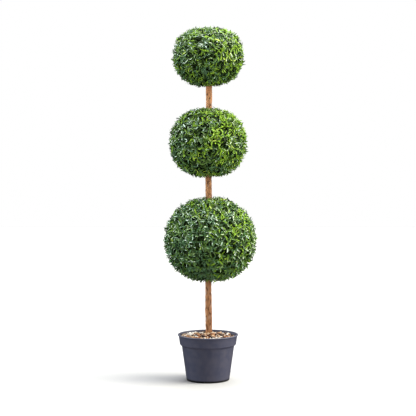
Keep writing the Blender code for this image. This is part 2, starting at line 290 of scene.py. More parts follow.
def colours():
    return bpy.context.scene.topiary_colours


def add_node(tree, kind, inputs=None, **settings):
    """A node with its settings, each input set to a value or linked from another node's output."""
    node = tree.nodes.new(kind)
    for name, value in settings.items():
        setattr(node, name, value)
    for name, value in (inputs or {}).items():
        if isinstance(value, bpy.types.NodeSocket):
            tree.links.new(value, node.inputs[name])
        else:
            node.inputs[name].default_value = value
    return node


def ramped(tree, share, stops):
    """Colours that change with a share. A stop is a place and an sRGB hex value or a linear colour."""
    ramp = add_node(tree, "ShaderNodeValToRGB", {"Fac": share})
    elements = ramp.color_ramp.elements
    for index, (place, colour) in enumerate(stops):
        element = elements[index] if index < len(elements) else elements.new(place)
        element.position = place
        channels = linear(colour) if isinstance(colour, str) else colour
        element.color = (*channels, 1)
    return ramp.outputs["Color"]


def shade(colour, factor):
    return [min(1, channel * factor) for channel in colour]


def blend(one, other, share):
    return [a + (b - a) * share for a, b in zip(one, other)]


def new_material(name, roughness, **inputs):
    """A material, its node tree and its Principled BSDF, with the values that are the same all over."""
    material = bpy.data.materials.new(name)
    material.use_nodes = True
    shader = material.node_tree.nodes["Principled BSDF"]
    shader.inputs["Roughness"].default_value = roughness
    for key, value in inputs.items():
        shader.inputs[key.replace("_", " ")].default_value = value
    return material, material.node_tree, shader


def cloud(tree, width, detail, height=None):
    """A cloudy pattern from 0 to 1 in the object's own place, with blotches this wide and this high."""
    place = add_node(tree, "ShaderNodeTexCoord").outputs["Object"]
    scale = (1 / width, 1 / width, 1 / (height or width))
    sized = add_node(tree, "ShaderNodeMapping", {"Vector": place, "Scale": scale}).outputs["Vector"]
    inputs = {"Vector": sized, "Scale": 1, "Detail": detail}
    return add_node(tree, "ShaderNodeTexNoise", inputs).outputs["Fac"]


def colour_along(tree, side, axis, stops):
    """Colours that change along an axis of the object's place, or of the way that its surface faces.

    The first of the stops and the last bound it, and their places are in metres, or in shares of upright.
    """
    low, high = stops[0][0], stops[-1][0]
    heading = add_node(tree, "ShaderNodeTexCoord").outputs[side]
    value = add_node(tree, "ShaderNodeSeparateXYZ", {"Vector": heading}).outputs[axis]
    share = add_node(tree, "ShaderNodeMapRange", {"Value": value, "From Min": low, "From Max": high})
    marks = [((place - low) / (high - low), colour) for place, colour in stops]
    return ramped(tree, share.outputs["Result"], marks)


def mixed(tree, share, one, other, how="MIX"):
    """Two colours mixed by a share, plainly or as layers of paint that multiply."""
    inputs = {0: share, 6: one, 7: other}
    return add_node(tree, "ShaderNodeMix", inputs, data_type="RGBA", blend_type=how).outputs[2]


def dress(tree, shader, colour, relief, depth):
    """Gives a shader its colour and its relief, whose bumps are this deep."""
    bump = add_node(tree, "ShaderNodeBump", {"Height": relief, "Distance": depth})
    tree.links.new(colour, shader.inputs["Base Color"])
    tree.links.new(bump.outputs["Normal"], shader.inputs["Normal"])


def blotched(name, roughness, stops, blotches, bumps, depth, **inputs):
    """A material whose colours and bumps are cloudy patterns, each given by its width and detail."""
    material, tree, shader = new_material(name, roughness, IOR=1.5, **inputs)
    colour = ramped(tree, cloud(tree, *blotches), stops)
    dress(tree, shader, colour, cloud(tree, *bumps), depth)
    return material


def polypropylene():
    """Injection-moulded polypropylene: dull and dusty, with painted shade and a painted highlight.

    Painted shade darkens its left side, a painted shadow darkens its foot, and the wall under the collar is a
    shade darker than the collar; a painted highlight pales the top of the lip. The dust's blotches are 24 mm
    wide. The moulding's orange peel is 0.3 mm in truth, and is drawn at 1.1 mm, so that it shows.
    """
    material, tree, shader = new_material("moulded_polypropylene", 0.5, IOR=1.49)
    base = list(colours().pot)
    stops = [(0.3, shade(base, 0.86)), (0.7, blend(base, linear("75685C"), 0.15))]
    bloom = ramped(tree, cloud(tree, 24 * MM, 6), stops)
    # Painted shadow: nearly black at the foot, and the wall under the collar a shade darker than the collar.
    foot_shadow_stops = [(5 * MM, "1C1C1B"), (9 * MM, "F4F4F4"), (SHOULDER_Z, "F4F4F4"), (COLLAR_FOOT_Z, "FFFFFF")]
    shade_painted = mixed(tree, 1, bloom, colour_along(tree, "Object", "Z", foot_shadow_stops), "MULTIPLY")
    # Painted shade: darker on the left, the side away from the key lamps.
    left_shade_stops = [(-80 * MM, "E4E4E4"), (0, "FFFFFF"), (85 * MM, "FCFCF9")]
    side_shaded = mixed(tree, 1, shade_painted, colour_along(tree, "Object", "X", left_shade_stops), "MULTIPLY")
    # Painted highlight: the top of the lip is paler.
    lip_highlight_stops = [(POT_HEIGHT - 2.4 * MM, (0, 0, 0)), (POT_HEIGHT - 1 * MM, (1, 1, 1))]
    lip_highlight = colour_along(tree, "Object", "Z", lip_highlight_stops)
    lip_highlighted = mixed(tree, lip_highlight, side_shaded, (*blend(base, linear("A9A9AE"), 0.12), 1))
    dress(tree, shader, lip_highlighted, cloud(tree, 1.1 * MM, 2), 0.12 * MM)
    return material


def cast_cement():
    """Cement cast round the stake's foot: grey and rough, with 6 mm blotches and pores of 2 mm."""
    stops = [(0.35, "5E5A54"), (0.65, "8B867D")]
    return blotched("cast_cement", 0.95, stops, (6 * MM, 6), (2 * MM, 4), 0.5 * MM)


def dark_grit():
    """Grit of 1.7 mm between the pebbles, nearly black, so that they stand out one by one."""
    stops = [(0.35, "14131A"), (0.7, "3C3130")]
    return blotched("dark_grit", 0.9, stops, (1.7 * MM, 3), (1.7 * MM, 3), 0.8 * MM)


def pebble_stone(name, base):
    """Tumbled quartz and limestone with pits of 1.4 mm, and painted shade: pale tops, orange-brown
    undersides.

    Its blotches are 9 mm wide.
    """
    material, tree, shader = new_material(name, 0.62, IOR=1.52)
    stops = [(0.3, shade(base, 0.6)), (0.5, base), (0.72, shade(base, 1.15))]
    # Painted shade: darker and orange-brown where the surface faces down, pale where it faces up.
    underside_shade = colour_along(tree, "Normal", "Z", [(0.05, "A86A42"), (0.75, "FFFFFF")])
    shade_painted = mixed(tree, 1, ramped(tree, cloud(tree, 9 * MM, 5), stops), underside_shade, "MULTIPLY")
    dress(tree, shader, shade_painted, cloud(tree, 1.4 * MM, 4), 0.4 * MM)
    return material


def peeled_wood():
    """A peeled stake of natural wood, orange-brown, with painted light towards its top and painted shade on
    its right.

    Its grain lines are 1.5 mm apart in truth, and are drawn at 3.4 mm and 26 mm long, so that they show.
    Greyer scraps of inner bark, 6 mm by 22 mm, and red-brown patches, 6 mm by 15 mm, are left on it, and its
    knots are dark.
    """
    material, tree, shader = new_material("peeled_natural_wood", 0.8, IOR=1.5, Diffuse_Roughness=1)
    base = list(colours().wood)
    grain = cloud(tree, 3.4 * MM, 4, 26 * MM)
    grain_stops = [
        (0.3, blend(base, linear("5E3820"), 0.85)),
        (0.42, shade(base, 0.84)),
        (0.54, shade(base, 1.12)),
        (0.7, blend(base, linear("F0C9A6"), 0.5)),
    ]
    streaked = ramped(tree, grain, grain_stops)
    # Painted light: paler towards the top, where the balls shade the stake.
    top_light_stops = [(0.3, "CCC3BC"), (0.65, "E6E6E6"), (0.95, "FFFFFF")]
    top_lit = mixed(tree, 1, streaked, colour_along(tree, "Object", "Z", top_light_stops), "MULTIPLY")
    # Painted shade: darker on the right, the side that the lamps light.
    right_shade_stops = [(-6 * MM, "FFFFFF"), (13 * MM, "CDC6C0")]
    side_shaded = mixed(tree, 1, top_lit, colour_along(tree, "Object", "X", right_shade_stops), "MULTIPLY")
    scrap_stops = [(0.55, (0, 0, 0)), (0.68, (0.7, 0.7, 0.7))]
    scraps = ramped(tree, cloud(tree, 6 * MM, 3, 22 * MM), scrap_stops)
    barked = mixed(tree, scraps, side_shaded, (*linear("B79A85"), 1))
    patch_stops = [(0.37, (0.85, 0.85, 0.85)), (0.45, (0, 0, 0))]
    patches = ramped(tree, cloud(tree, 6 * MM, 3, 15 * MM), patch_stops)
    patched = mixed(tree, patches, barked, (*linear("5E3118"), 1))
    knots = add_node(tree, "ShaderNodeAttribute", attribute_name="knot").outputs["Fac"]
    dress(tree, shader, mixed(tree, knots, patched, (*linear("3A2417"), 1)), grain, 0.35 * MM)
    return material


def moulded_leaf(name, base, roughness, gloss):
    """Leaves of moulded polyethylene: waxy, so that they mirror the lamps, with paler blotches of 7 mm.

    The veins are 0.4 mm apart in truth, and are drawn at 0.9 mm, so that they show.
    """
    stops = [(0.32, shade(base, 0.72)), (0.5, base), (0.7, shade(base, 1.32))]
    patterns = ((7 * MM, 2), (0.9 * MM, 2))
    return blotched(name, roughness, stops, *patterns, 0.1 * MM, Specular_IOR_Level=gloss)


def twig_plastic():
    """Olive polyethylene of the stems, in 5 mm blotches, dull like a woody shoot."""
    stops = [(0.35, "2C3812"), (0.65, "4A5C20")]
    patterns = ((5 * MM, 2), (2 * MM, 2))
    return blotched("moulded_twig", 0.7, stops, *patterns, 0.2 * MM, Specular_IOR_Level=0.2)


def frame_plastic():
    """The lattice that the leaf mats are pressed into: dull dark green with 11 mm blotches, in the shade."""
    stops = [(0.35, "1E3010"), (0.65, "2E471A")]
    patterns = ((11 * MM, 2), (2 * MM, 2))
    return blotched("dark_lattice", 0.8, stops, *patterns, 0.2 * MM, Specular_IOR_Level=0.1)


def deselect_all():
    bpy.ops.object.select_all(action="DESELECT")


def select_only(obj):
    deselect_all()
    bpy.context.view_layer.objects.active = obj
    obj.select_set(True)


def finish_piece(obj, material, slot, *nodes):
    """Places a finished piece in its mesh, and rides it on the body in place of the nodes."""
    select_only(obj)
    bpy.ops.object.transform_apply(location=True, rotation=True, scale=True)
    obj.data.materials.clear()
    obj.data.materials.append(material)
    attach(obj, BODY)
    if nodes:
        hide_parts(*nodes)


def edit_all():
    bpy.ops.object.mode_set(mode="EDIT")
    bpy.ops.mesh.select_all(action="SELECT")


def leave_edit():
    bpy.ops.object.mode_set(mode="OBJECT")


def arc(centre, radius, start, end, steps):
    """(radius, height) points round a centre, between two angles in degrees from straight out."""
    points = []
    for k in range(steps + 1):
        angle = math.radians(start + (end - start) * k / steps)
        points.append((centre[0] + radius * math.cos(angle), centre[1] + radius * math.sin(angle)))
    return points


def turn_shell(name, profile):
    """A disc extruded from station to station of a (radius, height) profile, and so closed at both ends."""
    deselect_all()
    radius, height = profile[0]
    bpy.ops.mesh.primitive_circle_add(
        vertices=POT_SIDES, radius=radius, fill_type="TRIFAN", location=(0, 0, height)
    )
    obj = bpy.context.object
    obj.name = name
    bpy.ops.object.transform_apply(location=True)
    edit_all()
    for (old_radius, old_height), (new_radius, new_height) in zip(profile, profile[1:]):
        bpy.ops.mesh.extrude_region_move(
            TRANSFORM_OT_translate={"value": (0, 0, new_height - old_height)}
        )
        ratio = new_radius / old_radius
        bpy.ops.transform.resize(value=(ratio, ratio, 1), center_override=(0, 0, new_height))
    bpy.ops.mesh.select_all(action="SELECT")
    bpy.ops.mesh.normals_make_consistent(inside=False)
    leave_edit()
    return obj


def pot_profile():
    """From the middle of the inner floor, up the wall and over the rim, and down to the underside."""
    wall = POT_WALL
    rim = RIM_THICKNESS / 2
    inside = [
        (6 * MM, 3 * MM),
        (BASE_RADIUS - wall - 3 * MM, 3 * MM),
        (BASE_RADIUS - wall, 6 * MM),
        (SHOULDER_RADIUS - wall, SHOULDER_Z),
        (COLLAR_FOOT_RADIUS - wall, COLLAR_FOOT_Z + wall),
        (COLLAR_TOP_RADIUS - wall, POT_HEIGHT - 2 * MM),
    ]
    lip_inner = arc((COLLAR_TOP_RADIUS - wall + 1.2 * MM, POT_HEIGHT - 1.2 * MM), 1.2 * MM, 170, 90, 3)
    lip_outer = arc((RIM_RADIUS - rim, POT_HEIGHT - rim), rim, 90, -80, 7)
    neck = arc((COLLAR_TOP_RADIUS + 0.9 * MM, POT_HEIGHT - RIM_THICKNESS - 0.9 * MM), 0.9 * MM, 90, 180, 3)
    collar_foot = arc((COLLAR_FOOT_RADIUS - 0.6 * MM, COLLAR_FOOT_Z + 0.6 * MM), 0.6 * MM, 0, -45, 3)
    step = [
        (SHOULDER_RADIUS + 0.5 * MM, SHOULDER_Z + 0.4 * MM),
        (SHOULDER_RADIUS, SHOULDER_Z - 0.3 * MM),
        (SHOULDER_RADIUS - 0.1 * MM, SHOULDER_Z - 1.2 * MM),
    ]
    foot = arc((BASE_RADIUS - BASE_EDGE, BASE_EDGE), BASE_EDGE, 0, -90, 6)
    under = [(62 * MM, 0), (61 * MM, 0.9 * MM), (8 * MM, 0.9 * MM), (7 * MM, 0.3 * MM), (2 * MM, 0.3 * MM)]
    return [*inside, *lip_inner, *lip_outer, *neck, *collar_foot, *step, *foot, *under]


class TOPIARY_OT_pot(bpy.types.Operator):
    """Turn the nursery pot, with its rolled lip, deep collar and tapered wall"""

    bl_idname = "topiary.pot"
    bl_label = "Nursery Pot"

    def execute(self, context):
        pot = turn_shell("nursery_pot", pot_profile())
        select_only(pot)
        bpy.ops.object.shade_smooth_by_angle(angle=POT_SMOOTH_ANGLE)
        finish_piece(pot, polypropylene(), "pot_plastic", "pot")
        return {"FINISHED"}


class TOPIARY_OT_fill(bpy.types.Operator):
    """Finish the cast fill that holds the stake's foot"""

    bl_idname = "topiary.fill"
    bl_label = "Cast Fill"

    def execute(self, context):
        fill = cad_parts["pot_fill"]
        fill.data.materials.clear()
        fill.data.materials.append(cast_cement())
        return {"FINISHED"}


def inner_radius(z):
    """The pot's inner radius at a height in its collar."""
    share = (z - COLLAR_FOOT_Z) / (POT_HEIGHT - COLLAR_FOOT_Z)
    return COLLAR_FOOT_RADIUS + share * (COLLAR_TOP_RADIUS - COLLAR_FOOT_RADIUS) - POT_WALL


def mesh_arrays(obj):
    """The mesh's points as an array, and its faces as index tuples."""
    points = np.empty(len(obj.data.vertices) * 3)
    obj.data.vertices.foreach_get("co", points)
    return points.reshape(-1, 3), [tuple(face.vertices) for face in obj.data.polygons]


def pebble_shape(chance):
    """One broken and tumbled stone of unit length: a ball whose sides are pressed flat."""
    deselect_all()
    bpy.ops.mesh.primitive_ico_sphere_add(subdivisions=2, radius=0.5)
    stone = bpy.context.object
    for vert in stone.data.vertices:
        vert.co *= chance.uniform(*PEBBLE_UNEVENNESS)
    for _ in range(PEBBLE_FLATS):
        normal = Vector([chance.gauss(0, 1) for _ in range(3)]).normalized()
        depth = chance.uniform(*PEBBLE_FLAT_REACHES)
        for vert in stone.data.vertices:
            over = vert.co.dot(normal) - depth
            if over > 0:
                vert.co -= normal * over * PEBBLE_FLATNESS
    slimness = [chance.uniform(*PEBBLE_WIDTHS), chance.uniform(*PEBBLE_HEIGHTS)]
    stone.data.transform(Matrix.Diagonal((PEBBLE_STRETCH, *slimness, 1)))
    shape = mesh_arrays(stone)
    bpy.data.objects.remove(stone, do_unlink=True)
    return shape


def spread_out(points, lengths, wall):
    """Pushes stones on the bed apart until few lie in each other, in the wall or in the stake."""
    stake = np.array(stake_centre(BED_Z)[:2])
    among, by_stake, by_wall = PEBBLE_ROOMS
    gap = (lengths[:, None] + lengths[None]) * among
    limit = wall - lengths[:, None] * by_wall
    nearest = STAKE_RADIUS + lengths[:, None] * by_stake
    for _ in range(PEBBLE_SPREADING_STEPS):
        apart = points[:, None] - points[None]
        distance = np.linalg.norm(apart, axis=2) + np.eye(len(points))
        push = np.clip(gap - distance, 0, None) * (1 - np.eye(len(points)))
        points = points + (apart / distance[..., None] * push[..., None]).sum(1) * PEBBLE_PUSH
        away = points - stake
        from_stake = np.linalg.norm(away, axis=1, keepdims=True)
        points = np.where(from_stake < nearest, stake + away / from_stake * nearest, points)
        radius = np.linalg.norm(points, axis=1, keepdims=True)
        points = np.where(radius > limit, points / radius * limit, points)
    return points


def joined_copies(name, shape_of, places):
    """One mesh with a copy of a (points, faces) shape at each 4 by 4 place."""
    points, faces, count = [], [], 0
    for place, shape in zip(places, shape_of):
        matrix = np.array(place)
        points.append(shape[0] @ matrix[:3, :3].T + matrix[:3, 3])
        faces.extend(tuple(index + count for index in face) for face in shape[1])
        count += len(shape[0])
    return mesh_object(name, np.concatenate(points), faces)


def mesh_object(name, points, faces):
    mesh = bpy.data.meshes.new(name)
    mesh.from_pydata(points, [], faces)
    mesh.update()
    obj = bpy.data.objects.new(name, mesh)
    bpy.context.scene.collection.objects.link(obj)
    return obj


def pebble_places(chance, length):
    """A 4 by 4 place for every stone, layer on layer."""
    places = []
    for lift, count, reach in PEBBLE_LAYERS:
        wall = reach or inner_radius(BED_Z)
        start = [
            (math.sqrt((k + 0.5) / count) * wall, k * GOLDEN_ANGLE + chance.uniform(-0.25, 0.25))
            for k in range(count)
        ]
        flat = np.array([(radius * math.cos(angle), radius * math.sin(angle)) for radius, angle in start])
        stray = np.array([[chance.uniform(-1, 1), chance.uniform(-1, 1)] for _ in flat])
        flat += stray * length * PEBBLE_STRAY
        lengths = np.array([length * chance.uniform(*PEBBLE_SIZES) for _ in flat])
        for (x, y), size in zip(spread_out(flat, lengths, wall), lengths):
            tilt = Matrix.Rotation(chance.uniform(-PEBBLE_TILT, PEBBLE_TILT), 4, "X")
            roll = Matrix.Rotation(chance.uniform(-PEBBLE_TILT, PEBBLE_TILT), 4, "Y")
            turn = Matrix.Rotation(chance.uniform(0, math.tau), 4, "Z")
            drop = PEBBLE_DOME * (math.hypot(x, y) / inner_radius(BED_Z)) ** 4
            bounce = chance.uniform(-PEBBLE_LIFT_STRAY, PEBBLE_LIFT_STRAY) * MM
            z = BED_Z + lift - drop - length * PEBBLE_SINK + bounce
            places.append(Matrix.Translation((x, y, z)) @ tilt @ roll @ turn @ Matrix.Scale(size, 4))
    return places


class TOPIARY_OT_gravel(bpy.types.Operator):
    """Heap the pebbles on their bed of grit, sorted by the stone they are of"""

    bl_idname = "topiary.gravel"
    bl_label = "Gravel"

    def execute(self, context):
        chance = random.Random(GRAVEL_SEED)
        length = sizes().pebble_length
        shapes = [pebble_shape(chance) for _ in range(PEBBLE_SHAPES)]
        kinds, shares = zip(*PEBBLE_DEALS)
        heaps = {kind: [] for kind in kinds}
        for place in pebble_places(chance, length):
            kind = chance.choices(kinds, shares)[0]
            heaps[kind].append((place, chance.choice(shapes)))
        for kind, heap in heaps.items():
            places, shape_of = zip(*heap)
            pebbles = joined_copies("pebbles_" + kind, shape_of, places)
            base = list(getattr(colours(), "pebble_" + kind))
            stone = pebble_stone("tumbled_pebbles_" + kind, base)
            finish_piece(pebbles, stone, "pale_gravel", "gravel")
        wall = inner_radius(BED_Z)
        low = BED_Z - GRIT_DEPTH
        profile = [(4 * MM, low), (wall - 0.6 * MM, low), (wall - 0.5 * MM, BED_Z), (4 * MM, BED_Z)]
        finish_piece(turn_shell("grit_bed", profile), dark_grit(), "pale_gravel", "gravel")
        return {"FINISHED"}


def stake_centre(z):
    phase = 2 * math.pi * z / STAKE_WAVE
    return Vector((STAKE_X + STAKE_WANDER * math.sin(phase), STAKE_WANDER * math.cos(phase / 2), z))


def stake_radius(z):
    phase = 2 * math.pi * z / STAKE_WAVE
    taper = STAKE_TAPER * (0.5 - z / STAKE_HIGH.z)
    return STAKE_RADIUS * (1 + taper + STAKE_SWELL * math.sin(phase * STAKE_SWELLS_A_WAVE))


def knot_places():
    """(angle, height, size, lift) of the knots and scars that dot the stake."""
    chance = random.Random(STAKE_SEED)
    return [
        (
            k * GOLDEN_ANGLE + chance.uniform(-0.5, 0.5),
            STAKE_LOW.z + (STAKE_HIGH.z - STAKE_LOW.z) * (k + chance.uniform(0.1, 0.9)) / KNOT_COUNT,
            chance.uniform(*KNOT_SIZES),
            chance.choice(KNOT_LIFTS) * MM,
        )
        for k in range(KNOT_COUNT)
    ]


def grain_relief(angle, z):
    """How far the wood stands off its round."""
    around = Vector((math.cos(angle), math.sin(angle), 0))
    relief = 0
    for fine_round, fine_up, start, height in STAKE_RELIEF:
        relief += noise.noise(around * fine_round + Vector((*start, z * fine_up))) * height * MM
    return relief + STAKE_PLUMPNESS


class TOPIARY_OT_stake(bpy.types.Operator):
    """Shape the peeled stake: its wander, its ridges and its knots"""

    bl_idname = "topiary.stake"
    bl_label = "Peeled Stake"

    def execute(self, context):
        deselect_all()
        length = STAKE_HIGH.z - STAKE_LOW.z
        bpy.ops.mesh.primitive_cylinder_add(
            vertices=STAKE_SIDES,
            radius=1,
            depth=length,
            end_fill_type="TRIFAN",
            location=(0, 0, STAKE_LOW.z + length / 2),
        )
        stake = context.object
        stake.name = "peeled_stake"
        bpy.ops.object.transform_apply(location=True)
        self.divide(stake)
        self.carve(stake)
        stake.data.shade_smooth()
        finish_piece(stake, peeled_wood(), "peeled_wood", "pole")
        return {"FINISHED"}

    def divide(self, stake):
        """Cuts the upright edges into rings, and the pieces between them again."""
        for cuts in STAKE_CUTS:
            bpy.ops.object.mode_set(mode="EDIT")
            bpy.ops.mesh.select_mode(type="EDGE")
            bpy.ops.mesh.select_all(action="DESELECT")
            leave_edit()
            for edge in stake.data.edges:
                one, other = (stake.data.vertices[k].co for k in edge.vertices)
                edge.select = abs(one.z - other.z) > MM
            bpy.ops.object.mode_set(mode="EDIT")
            bpy.ops.mesh.subdivide(number_cuts=cuts)
            bpy.ops.mesh.select_mode(type="VERT")
            leave_edit()

    def carve(self, stake):
        """Moves each point of the unit cylinder out to the wood's surface, and marks the knots."""
        knots = knot_places()
        marks = stake.data.attributes.new("knot", "FLOAT", "POINT")
        for vert, mark in zip(stake.data.vertices, marks.data):
            z = vert.co.z
            out = math.hypot(vert.co.x, vert.co.y)
            angle = math.atan2(vert.co.y, vert.co.x)
            radius = stake_radius(z) + grain_relief(angle, z)
            for knot_angle, knot_z, size, lift in knots:
                if abs(z - knot_z) > KNOT_REACH * size:
                    continue
                around = (angle - knot_angle + math.pi) % math.tau - math.pi
                near = math.hypot(around * STAKE_RADIUS / size, (z - knot_z) / (KNOT_LENGTH * size))
                radius += lift * math.exp(-near * near)
                dark = KNOT_DARKNESS * math.exp(-KNOT_DARK_FALL * near * near)
                mark.value = max(mark.value, dark)
            centre = stake_centre(z)
            vert.co = centre + Vector((math.cos(angle), math.sin(angle), 0)) * radius * out


def ball_centre(ball):
    return Vector((ball.x, 0, ball.z))


def reach_of(ball, point):
    """How far a point lies out from the ball's centre: 1 is on the clipped outline."""
    away = point - ball_centre(ball)
    squareness = ball.crown_squareness if away.z > 0 else ball.foot_squareness
    across = math.hypot(away.x, away.y) / ball.half_width
    along = abs(away.z) / ball.half_height
    return (across**squareness + along**squareness) ** (1 / squareness)


def outline_point(ball, direction, reach):
    centre = ball_centre(ball)
    return centre + direction * (reach / reach_of(ball, centre + direction))


def clipped_reach(ball, point):
    """The reach that the shears left here: a little uneven, dented at the crown and round the stake."""
    away = point - ball_centre(ball)
    lump = noise.noise(away / LUMP_WIDTH + Vector((ball.seed, 0, 0)))
    from_stake = math.hypot(point.x - STAKE_X, point.y) / DIMPLE_WIDTH
    depth = DIMPLE_DEPTH if away.z < 0 else ball.crown_dent
    return 1 + ball.lumps * lump - depth * math.exp(-from_stake * from_stake)


def room_along(ball, start, direction, most, stray):
    """How far one can go from start before leaving the clipped outline, up to the most asked for."""
    end = start + direction * most
    limit = clipped_reach(ball, end) + stray
    if reach_of(ball, end) <= limit:
        return most
    low, high = 0, most
    for _ in range(HALVINGS):
        middle = (low + high) / 2
        if reach_of(ball, start + direction * middle) <= limit:
            low = middle
        else:
            high = middle
    return low


def sprig_places(count, seed, jitter, tilt):
    """(direction, axis, turn) of each sprig, on a golden spiral round the ball that is a little disturbed."""
    chance = random.Random(seed)
    spacing = math.sqrt(4 * math.pi / count)
    for index in range(count):
        height = 1 - (2 * index + 1) / count
        across = math.sqrt(1 - height * height)
        angle = index * GOLDEN_ANGLE
        direction = Vector((across * math.cos(angle), across * math.sin(angle), height))
        stray = Vector([chance.uniform(-1, 1) for _ in range(3)]) * spacing * jitter
        direction = (direction + stray).normalized()
        lean = Vector([chance.uniform(-1, 1) for _ in range(3)]) * math.tan(tilt)
        yield direction, (direction + lean).normalized(), chance.uniform(0, math.tau)


def clear_of_stake(points):
    """Whether all the points are well off the stake, or above its top."""
    for point in points:
        z = min(max(point.z, STAKE_LOW.z), STAKE_HIGH.z)
        if (point - stake_centre(z)).length < stake_radius(z) + LIMB_CLEARANCE:
            return False
    return True


def main_twigs(ball):
    """(root, axis, length) of the twigs that the source's solid has."""
    twigs = []
    for direction, axis, _ in sprig_places(ball.sprigs, ball.seed, SPIRAL_JITTER, TWIG_TILT):
        root = outline_point(ball, direction, TWIG_ROOT_REACH)
        full = (TWIG_TIP_REACH - TWIG_ROOT_REACH) * (root - ball_centre(ball)).length / TWIG_ROOT_REACH
        length = room_along(ball, root, axis, full, 0)
        if clear_of_stake([root + axis * length, root + axis * length / 2]):
            twigs.append((root, axis, length))
    return twigs


def ball_area(ball):
    mean = (ball.half_width + ball.half_height) / 2
    return 4 * math.pi * mean * mean


class Spray(NamedTuple):
    """One fine twig: its bent line, and its leaves of each age, as (root, along, up, length)."""

    line: tuple
    leaves: tuple


def fork_of(mains, place):
    """Where a fine twig leaves the nearest of the main ones."""
    root, axis, length = min(mains, key=lambda twig: (twig[0] + twig[1] * twig[2] / 2 - place).length_squared)
    return root + axis * length * FORK_SHARE


def grow_spray(ball, mains, direction, axis, turn, chance):
    """A fine twig from the nearest main one out to its place, with crossed pairs of leaves."""
    bend = outline_point(ball, direction, FORK_REACH)
    full = (chance.uniform(*FINE_TIP_REACHES) - FORK_REACH) * (bend - ball_centre(ball)).length / FORK_REACH
    length = room_along(ball, bend, axis, full, 0)
    tip = bend + axis * length
    if not clear_of_stake([bend, tip]):
        return None
    leaves = ([], [], [])
    side = axis.orthogonal().normalized()
    longest = sizes().leaf_length
    for pair, (share, lean, age) in enumerate(LEAF_PAIRS):
        node = bend + axis * length * share
        for half in range(2):
            lean_here = math.radians(lean + chance.uniform(-LEAF_LEAN_STRAY, LEAF_LEAN_STRAY))
            stray = chance.uniform(-LEAF_TURN_STRAY, LEAF_TURN_STRAY)
            around = turn + math.pi * (pair / 2 + half) + stray
            aside = Matrix.Rotation(around, 3, axis) @ side
            along = axis * math.cos(lean_here) + aside * math.sin(lean_here)
            add_leaf(ball, leaves[age], node, along, axis, longest * chance.uniform(*LEAF_SIZES), chance)
    return Spray((fork_of(mains, bend), bend, tip), leaves)


def add_leaf(ball, leaves, start, along, outward, length, chance):
    """Adds a leaf, shorter where it would leave the outline, or none where too little of it is left."""
    room = room_along(ball, start, along, length, chance.uniform(-OUTLINE_STRAY / 2, OUTLINE_STRAY))
    if room < length * SHORTEST_SHARE:
        return
    if not clear_of_stake([start + along * room, start + along * room / 2]):
        return
    spin = Matrix.Rotation(chance.uniform(-LEAF_SPIN, LEAF_SPIN), 3, along)
    across = spin @ outward.cross(along).normalized()
    leaves.append((start, along, along.cross(across), room))


def leaf_shape(fold, droop, sweep):
    """A leaf's (points, faces) at unit size: a grid pinched at both ends, folded along its rib and bent.

    Up and along are counted in leaf lengths, and across in leaf widths.
    """
    deselect_all()
    steps = len(LEAF_ROWS) - 1
    bpy.ops.mesh.primitive_grid_add(x_subdivisions=2, y_subdivisions=steps, size=1)
    leaf = bpy.context.object
    for vert in leaf.data.vertices:
        share, half_width = LEAF_ROWS[round((vert.co.y + 0.5) * steps)]
        side = round(vert.co.x * 2)
        rise = fold * abs(side) * half_width - droop * share * share
        vert.co = (side * half_width + sweep * share * share, share, rise)
    edit_all()
    bpy.ops.mesh.remove_doubles(threshold=0.001)
    leave_edit()
    shape = mesh_arrays(leaf)
    bpy.data.objects.remove(leaf, do_unlink=True)
    return shape


def leaf_object(name, shapes, leaves, width_share):
    """All of a ball's leaves of one colour, as one mesh: each shape's leaves are set out in one go."""
    points, faces, count = [], [], 0
    for kind, (shape_points, shape_faces) in enumerate(shapes):
        mine = leaves[kind :: len(shapes)]
        if not mine:
            continue
        start, along, up, length = (np.array(column) for column in zip(*mine))
        length = length[:, None]
        across = np.cross(along, up)
        x, y, z = shape_points.T
        placed = (
            start[:, None]
            + across[:, None] * x[None, :, None] * (length * width_share)[:, :, None]
            + along[:, None] * y[None, :, None] * length[:, :, None]
            + up[:, None] * z[None, :, None] * length[:, :, None]
        )
        points.append(placed.reshape(-1, 3))
        for leaf_index in range(len(mine)):
            first = count + leaf_index * len(shape_points)
            faces.extend(tuple(first + k for k in face) for face in shape_faces)
        count += len(mine) * len(shape_points)
    joined = mesh_object(name, np.concatenate(points), faces)
    joined.data.shade_smooth()
    return joined


def twig_mesh(lines, radii):
    """Three-sided twigs along bent lines, as (points, faces)."""
    points, faces = [], []
    for line in lines:
        first = len(points)
        heading = (line[-1] - line[0]).normalized()
        side = heading.orthogonal().normalized()
        other = heading.cross(side)
        for place, radius in zip(line, radii):
            for corner in range(3):
                angle = corner * math.tau / 3
                points.append(place + (side * math.cos(angle) + other * math.sin(angle)) * radius)
        for step in range(len(line) - 1):
            for corner in range(3):
                low = first + step * 3
                after = (corner + 1) % 3
                faces.append((low + corner, low + after, low + 3 + after, low + 3 + corner))
        last = first + (len(line) - 1) * 3
        faces.append((first + 2, first + 1, first))
        faces.append((last, last + 1, last + 2))
    return points, faces


def lattice_frame(name, ball):
    """The moulded frame inside a ball: a geodesic ball whose cells are pressed in between its ribs."""
    deselect_all()
    bpy.ops.mesh.primitive_ico_sphere_add(subdivisions=sizes().frame_detail, radius=1)
    core = bpy.context.object
    core.name = name
    for vert in core.data.vertices:
        vert.co = outline_point(ball, vert.co.normalized(), FRAME_REACH)
    edit_all()
    bpy.ops.mesh.inset(use_individual=True, thickness=FRAME_RIB, depth=-FRAME_CELL_DEPTH)
    leave_edit()
    return core


LEAF_DEALS = (  # (colour property, share of the sprays, how it leans to young patches, roughness, gloss)
    ("leaf_deep", 0.09, -1.5, 0.5, 0.25),
    ("leaf_green", 0.46, 0, 0.31, 1.1),
    ("leaf_cool", 0.28, -2, 0.28, 1.4),
    ("leaf_young", 0.14, 4, 0.5, 0.3),
    ("leaf_tip", 0.02, 4, 0.4, 0.5),
)
PATCH_WIDTH = 34 * MM
PATCH_YOUTH = 0.8
# Painted light: paler young leaves are dealt more to the right, the side that the lamps light.
PAINTED_LIGHT_ASIDE = 2.2  # how much more young growth there is for each metre to the right


